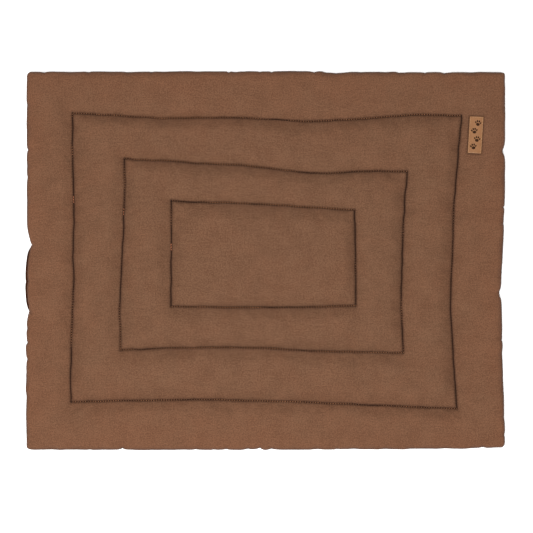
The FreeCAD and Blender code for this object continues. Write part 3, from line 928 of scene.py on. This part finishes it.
def lockstitch(name, loop, up, stitch, wide, high, oversewn=0.0, slack=0.3, sunk=0.0):
    """One thread of a lockstitch along a loop: at each hole it dives into the cloth, and between holes it
    arches over it with a slight slant. It is sunk unevenly, and deeper where it runs across the mat. Past its
    start it goes on in shorter stitches beside the first ones."""
    samples = 8
    path, around = evenly(loop, stitch / samples, oversewn)
    step = np.arange(len(path)) / samples
    past_start = step * stitch > around
    phase = np.where(past_start, step * 1.6 + 0.3, step) % 1
    along = unit(np.gradient(path, axis=0))
    upwards = np.zeros_like(path) + [0, 0, up]
    sideways = unit(np.cross(along, upwards))
    arch = np.sin(np.pi * phase) ** 2
    lift = high * (0.5 + slack) * arch - 1.3 * high * (1 - arch)
    doubled = (past_start | (step * stitch < oversewn)) * 1.0
    tightness = np.clip(np.abs(along[:, 1]) + 0.5 * uneven(300, step * stitch, 40 * MM), 0, 2)
    lift += 0.35 * high * doubled - sunk * tightness * (1 - doubled)
    slant = 0.22 * MM * np.cos(np.pi * phase) + past_start * 0.8 * wide
    centres = path + upwards * lift[:, None] + sideways * slant[:, None]
    swell = 0.6 + 0.6 * arch
    points, faces = tube(centres, sideways, upwards, wide * swell, high * swell)
    made = mesh_object(name, points, faces)
    give_values(made, along_thread=on_tube(step * stitch), doubled=on_tube(doubled))
    return made


DOUBLED_THREAD = (0.36, 0.125, 0.058, 1)


def spun_thread(name, dark, light, twist):
    """Spun thread: two plies twisted together, a slight change of colour along it, and redder where it lies
    double, on top of the cloth."""
    thread = Finish(name)
    places = thread.node("TexCoord", None, None, out=3)
    plies = (thread.stored("along_thread") * (2 * np.pi / twist)).wave()
    # The plies' wave sets the colour as well as the relief: painted shade in the grooves between the plies.
    shade = 0.5 + plies * 0.28 + (thread.noise(places, 240, 2) - 0.5) * 0.8
    return thread.surface(
        Base_Color=thread.mixed(thread.stored("doubled"), thread.mixed(shade, dark, light), DOUBLED_THREAD),
        Roughness=0.62 + plies * 0.06,
        Normal=thread.relief(plies * 0.08),
        Specular_IOR_Level=0.2,
    )


quilting_thread = spun_thread(
    "quilting_thread", dark=(0.110, 0.040, 0.015, 1), light=(0.480, 0.200, 0.086, 1), twist=PLY_TWIST
)
for ring in RINGS:
    for kind, side, up in (("needle", "top", 1), ("bobbin", "under", -1)):
        name = f"{ring}_quilting_{kind}_thread"
        stitches = lockstitch(f"{ring}_{kind}_stitches", sewn_loop(side, ring), up, STITCH,
                              THREAD_WIDE, THREAD_HIGH, OVERSEWN, sunk=SUNK)
        stitches.data.materials.append(quilting_thread)
        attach(stitches, "root")
        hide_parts(name)

# ==== Edge seam ====
# The seam that closed the mat was sewn inside out, four millimetres in from the fold, through both margins.
# Once the mat is turned, its two threads lie hidden inside, one on each margin.

# How far in the seam lies, how far from its middle level each thread does, the length of a stitch, and how
# fine the thread is against the quilting thread.
SEAM_INSET, SEAM_OFF, SEAM_STITCH, FINER = 4 * MM, 0.9 * MM, 3.5 * MM, 0.8
seam_thread = spun_thread(
    "seam_thread", dark=(0.16, 0.060, 0.028, 1), light=(0.30, 0.13, 0.065, 1), twist=PLY_TWIST
)
seam_x, seam_y = inset_rim(SEAM_INSET)
for kind, up in (("needle", 1), ("bobbin", -1)):
    seam_z = np.full_like(seam_x, SEAM_Z + up * SEAM_OFF)
    stitches = lockstitch(f"edge_seam_{kind}_stitches", np.stack([seam_x, seam_y, seam_z], axis=-1), up,
                          SEAM_STITCH, FINER * THREAD_WIDE, FINER * THREAD_HIGH, slack=0)
    stitches.data.materials.append(seam_thread)
    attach(stitches, "root")
    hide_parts(f"edge_seam_{kind}_thread")

# ==== Turning gap ====
# The mat was turned right side out through a gap in the middle of the left edge, which was then closed by
# hand. The thread whips over the fold at both ends and runs from fold to fold in the dark crevice between.

# The length of one whipped stitch, and how far the sewing runs on past each end of the gap.
WHIP, PAST_GAP = 6.5 * MM, 11 * MM


def gap_thread():
    """A coil along the gap: small and sunk in the crevice, and wide enough to pass over the fold at its
    ends."""
    y = np.arange(GAP_HIGH + PAST_GAP, GAP_LOW - PAST_GAP, -WHIP / 16)
    in_gap = ease(y, GAP_LOW - 2 * MM, GAP_LOW + 8 * MM) * ease(y, GAP_HIGH + 2 * MM, GAP_HIGH - 8 * MM)
    edge_x = sewn(np.full_like(y, -HALF["edge"][0]), y)[0]
    middle_x = edge_x + (2.4 + 0.4 * in_gap) * MM
    reach = (2.9 - 1.9 * in_gap) * MM
    turn = 2 * np.pi * (y - y[0]) / WHIP
    slope = 1 - 0.35 * in_gap
    middle_z = SEAM_Z + (1.6 - 2.6 * in_gap) * MM
    centres = np.stack([middle_x - reach * np.cos(turn), y, middle_z + reach * slope * np.sin(turn)], axis=-1)
    along = unit(np.gradient(centres, axis=0))
    from_axis = np.stack([-np.cos(turn), 0 * y, np.sin(turn)], axis=-1)
    sideways = unit(np.cross(along, from_axis))
    outwards = np.cross(sideways, along)
    wide = np.full(len(y), 0.9 * THREAD_WIDE)
    points, faces = tube(centres, sideways, outwards, wide, wide * 0.8)
    made = mesh_object("turning_gap_stitches", points, faces)
    give_values(made, along_thread=on_tube(np.abs(y - y[0]) * 3))
    return made


closing = gap_thread()
closing_thread = spun_thread(
    "closing_thread", dark=(0.22, 0.075, 0.034, 1), light=(0.46, 0.19, 0.10, 1), twist=PLY_TWIST
)
closing.data.materials.append(closing_thread)
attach(closing, "root")
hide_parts("turning_gap_thread")

# ==== Label ====
# A patch of tan leather, 28 by 74 mm, with smooth rounded corners, sewn to the upper panel round its border.
# It carries a stamped trail of small paw prints.

LABEL_THICK = label_high.z - label_low.z
LABEL_CORNER = 1.5 * MM
# How high the leather's underside lies over the cloth, and half the width of the slit where its faces close.
LABEL_LIFT, SLIT = 0.05 * MM, 0.4 * MM


def to_world(p, q, height):
    """Points from places on the label and heights over the cloth that it lies on."""
    x = label_centre.x + p * np.cos(LABEL_TURN) - q * np.sin(LABEL_TURN)
    y = label_centre.y + p * np.sin(LABEL_TURN) + q * np.cos(LABEL_TURN)
    return np.stack([x, y, bowl_terms(x, y) @ label_bed + height], axis=-1)


def label_outline(inset, count=176):
    """The outline of the label moved in by an inset: a rectangle whose corners are quarter circles, as points
    evenly spaced along it. Each point falls on one of four straight runs or four bends, and its share of that
    part gives its place."""
    half = LABEL_HALF - inset
    corner = max(LABEL_CORNER - inset, 0.3 * MM)
    straight = 2 * (half - corner)
    lengths = np.array([straight[1], corner * np.pi / 2, straight[0], corner * np.pi / 2] * 2)
    starts = np.concatenate([[0], np.cumsum(lengths)])
    place = np.arange(count) / count * starts[-1]
    part = np.searchsorted(starts, place, side="right") - 1
    share = (place - starts[part]) / lengths[part]
    quarter, bend = part // 2, part % 2
    turn = (quarter + bend * share) * np.pi / 2
    corner_p = np.array([1, -1, -1, 1])[quarter] * (half[0] - corner)
    corner_q = np.array([1, 1, -1, -1])[quarter] * (half[1] - corner)
    run = (1 - bend) * (1 - share)
    p = corner_p + corner * np.cos(turn) + run * np.array([0, 1, 0, -1])[quarter] * straight[0]
    q = corner_q + corner * np.sin(turn) + run * np.array([-1, 0, 1, 0])[quarter] * straight[1]
    return p, q


def leather_label():
    """The outline carried over the label's profile: across the face from the middle, over a rounded rim, down
    the wall and back across the underside."""
    across = np.linspace(LABEL_HALF[0], 1.4 * MM, 8)
    face = [(inset, LABEL_THICK) for inset in across]
    rounded = [(0.7 * MM, 0.985 * LABEL_THICK), (0.2 * MM, 0.86 * LABEL_THICK), (0, 0.6 * LABEL_THICK)]
    wall = [(0, 0.25 * LABEL_THICK), (0.25 * MM, LABEL_LIFT)]
    back = [(LABEL_HALF[0] / 2, LABEL_LIFT), (LABEL_HALF[0], LABEL_LIFT)]
    profile = [*face, *rounded, *wall, *back]
    outlines = [label_outline(min(inset, LABEL_HALF[0] - SLIT)) for inset, _ in profile]
    points = np.concatenate([to_world(p, q, height) for (p, q), (_, height) in zip(outlines, profile)])
    count = len(outlines[0][0])
    numbers = [n * count + np.arange(count) for n in range(len(profile))]
    made = mesh_object("leather_label", points, joined_rings(numbers))
    give_map(made, "label", np.concatenate([np.stack(outline, axis=-1) for outline in outlines]))
    cap_ends(made.data)
    return made


def cap_ends(mesh):
    """Closes the open slits at the two ends of a lofted skin."""
    work = bmesh.new()
    work.from_mesh(mesh)
    open_edges = [edge for edge in work.edges if edge.is_boundary]
    bmesh.ops.holes_fill(work, edges=open_edges)
    work.to_mesh(mesh)
    work.free()
    mesh.shade_smooth()


def tan_leather():
    """Smooth tan leather: fine grain, faint clouding, and a rim darkened with painted shade."""
    leather = Finish("label_leather")
    places = leather.node("UVMap", {"uv_map": "label"})
    p, q = [leather.node("SeparateXYZ", None, {"Vector": places}, out=n).size() for n in (0, 1)]
    to_rim = (LABEL_HALF[0] - p).least(LABEL_HALF[1] - q)
    # A dark band round the rim: painted shade where the leather meets the cloth.
    painted_rim_shade = to_rim.fading(1.0 * MM)
    grain = leather.node("TexVoronoi", {"feature": "DISTANCE_TO_EDGE"}, {"Vector": places, "Scale": 1400.0})
    clouds = leather.noise(places, 90, 3)
    plain = leather.mixed(clouds, (0.163, 0.0660, 0.0225, 1), (0.250, 0.114, 0.0430, 1))
    return leather.surface(
        Base_Color=leather.mixed(painted_rim_shade, plain, (0.040, 0.013, 0.005, 1)),
        Roughness=0.48 + (clouds - 0.5) * 0.2,
        Normal=leather.relief(grain.least(0.2) * 0.35 + clouds * 0.1),
        Specular_IOR_Level=0.2,
    )


label = leather_label()
label.data.materials.append(tan_leather())
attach(label, "root")
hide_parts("label")

# ==== Label stitching ====
# Pale tan thread in small stitches, two millimetres in from the label's rim. The needle thread lies on the
# leather and the bobbin thread under the cloth of the upper panel.

# The length of a stitch, how far in from the rim the stitches lie, and the thread's width and height.
LABEL_STITCH, STITCH_INSET, FINE_WIDE, FINE_HIGH = 2.7 * MM, 2 * MM, 0.6 * MM, 0.45 * MM
label_thread = spun_thread(
    "label_thread", dark=(0.42, 0.22, 0.10, 1), light=(0.72, 0.48, 0.28, 1), twist=0.8 * MM
)
for kind, up, height in (("needle", 1, LABEL_THICK), ("bobbin", -1, -CLOTH)):
    border = to_world(*label_outline(STITCH_INSET, 400), height)
    stitches = lockstitch(f"label_{kind}_stitches", border, up, LABEL_STITCH, FINE_WIDE, FINE_HIGH, slack=0.1)
    stitches.data.materials.append(label_thread)
    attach(stitches, "root")
    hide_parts(f"label_{kind}_thread")

# ==== Label print ====
# Dark brown paw prints stamped into the leather, one after the other up the label, left and right in turn.
# Each is a broad pad with four toes.

# Each pad of one paw: (across, along, half width, half length, turn in degrees) in mm.
PAW = [
    (0, -2.2, 3.6, 2.9, 0),
    (-4.8, 1.3, 1.4, 2.1, 24),
    (-1.85, 4.0, 1.5, 2.2, 8),
    (1.85, 4.0, 1.5, 2.2, -8),
    (4.8, 1.3, 1.4, 2.1, -24),
]
# Each print: (across, along, turn in degrees) in mm.
PRINTS = [(-3.0, -23.5, 8), (3.2, -8.5, -8), (-3.0, 7.5, 8), (3.2, 23, -8)]
# How far each pad rises above the leather, and sinks into it.
PRINT_HIGH = 0.05 * MM


def turned(p, q, degrees):
    """Places turned anticlockwise about the origin."""
    angle = np.radians(degrees)
    return p * np.cos(angle) - q * np.sin(angle), p * np.sin(angle) + q * np.cos(angle)


def paw_prints():
    """Flat lens shapes, half sunk in the leather: circles of latitude and longitude squashed to each pad's
    size."""
    around, rings = 20, 5
    longitude = np.arange(around) * 2 * np.pi / around
    latitude = np.linspace(-np.pi / 2, np.pi / 2, rings + 2)[1:-1]
    points, faces, first = [], [], 0
    for place_p, place_q, way in PRINTS:
        for pad_p, pad_q, wide, long, lean in PAW:
            circle = np.cos(latitude)[:, None]
            p = np.concatenate([[0], (wide * circle * np.cos(longitude)).ravel(), [0]])
            q = np.concatenate([[0], (long * circle * np.sin(longitude)).ravel(), [0]])
            lens = np.concatenate([[-1], np.repeat(np.sin(latitude), around), [1]])
            p, q = turned(p, q, lean)
            p, q = turned(p + pad_p, q + pad_q, way)
            points.append(to_world((p + place_p) * MM, (q + place_q) * MM, LABEL_THICK + PRINT_HIGH * lens))
            numbers = first + 1 + np.arange(rings * around).reshape(rings, around)
            last = numbers[-1, -1] + 1
            faces += capped_rings(numbers, (first, last))
            first = last + 1
    return mesh_object("label_paw_prints", np.concatenate(points), faces)


def stamped_ink():
    """Dark brown stamping, a little uneven where it took less well."""
    ink = Finish("stamped_ink")
    places = ink.node("TexCoord", None, None, out=3)
    wear = ink.noise(places, 1500, 3)
    return ink.surface(
        Base_Color=ink.mixed(wear, (0.012, 0.0045, 0.0015, 1), (0.034, 0.013, 0.005, 1)),
        Roughness=0.7 + (wear - 0.5) * 0.3,
        Specular_IOR_Level=0.05,
    )


prints = paw_prints()
prints.data.materials.append(stamped_ink())
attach(prints, "root")

# ==== Studio ====
# A plain pale floor, a broad soft light nearly straight above with a weaker one from the near side, and a
# long lens that looks straight down on the mat.

bpy.ops.mesh.primitive_plane_add(size=6, location=(0, 0, -0.3 * MM))
floor = bpy.context.object
floor.name = "studio_floor"
paper = Finish("floor_paper")
paper.surface(Base_Color=(0.93, 0.93, 0.93, 1), Roughness=0.9, Specular_IOR_Level=0.1,
              Emission_Color=(1, 1, 1, 1), Emission_Strength=0.25)
floor.data.materials.append(paper.material)


def softbox(name, place, size, power):
    """A square area light aimed at the middle of the mat."""
    lamp = bpy.data.lights.new(name, "AREA")
    lamp.shape, lamp.size, lamp.energy = "SQUARE", size, power
    made = bpy.data.objects.new(name, lamp)
    made.location = place
    made.rotation_euler = (-Vector(place)).to_track_quat("-Z", "Y").to_euler()
    bpy.context.scene.collection.objects.link(made)


softbox("overhead_softbox", (-0.3, -0.45, 2.6), 1.6, 94)
softbox("near_softbox", (-0.4, -2.2, 1.5), 1.0, 9)

scene = bpy.context.scene
scene.world = bpy.data.worlds.new("studio_air")
scene.world.use_nodes = True
air = scene.world.node_tree.nodes["Background"]
air.inputs["Color"].default_value = (1, 1, 1, 1)
air.inputs["Strength"].default_value = 0.6
scene.view_settings.view_transform = "Standard"

# How high the camera stands, how wide its view is at the level of the edge seam, and the middle of the view.
CAMERA_HEIGHT, VIEW_WIDTH = 3.2, 1.055
VIEW_MIDDLE = (1.6 * MM, -13.7 * MM)
lens = bpy.data.cameras.new("camera")
lens.sensor_width = 36
lens.lens = lens.sensor_width * (CAMERA_HEIGHT - SEAM_Z) / VIEW_WIDTH
camera = bpy.data.objects.new("camera", lens)
camera.location = (*VIEW_MIDDLE, CAMERA_HEIGHT)
scene.collection.objects.link(camera)
scene.camera = camera
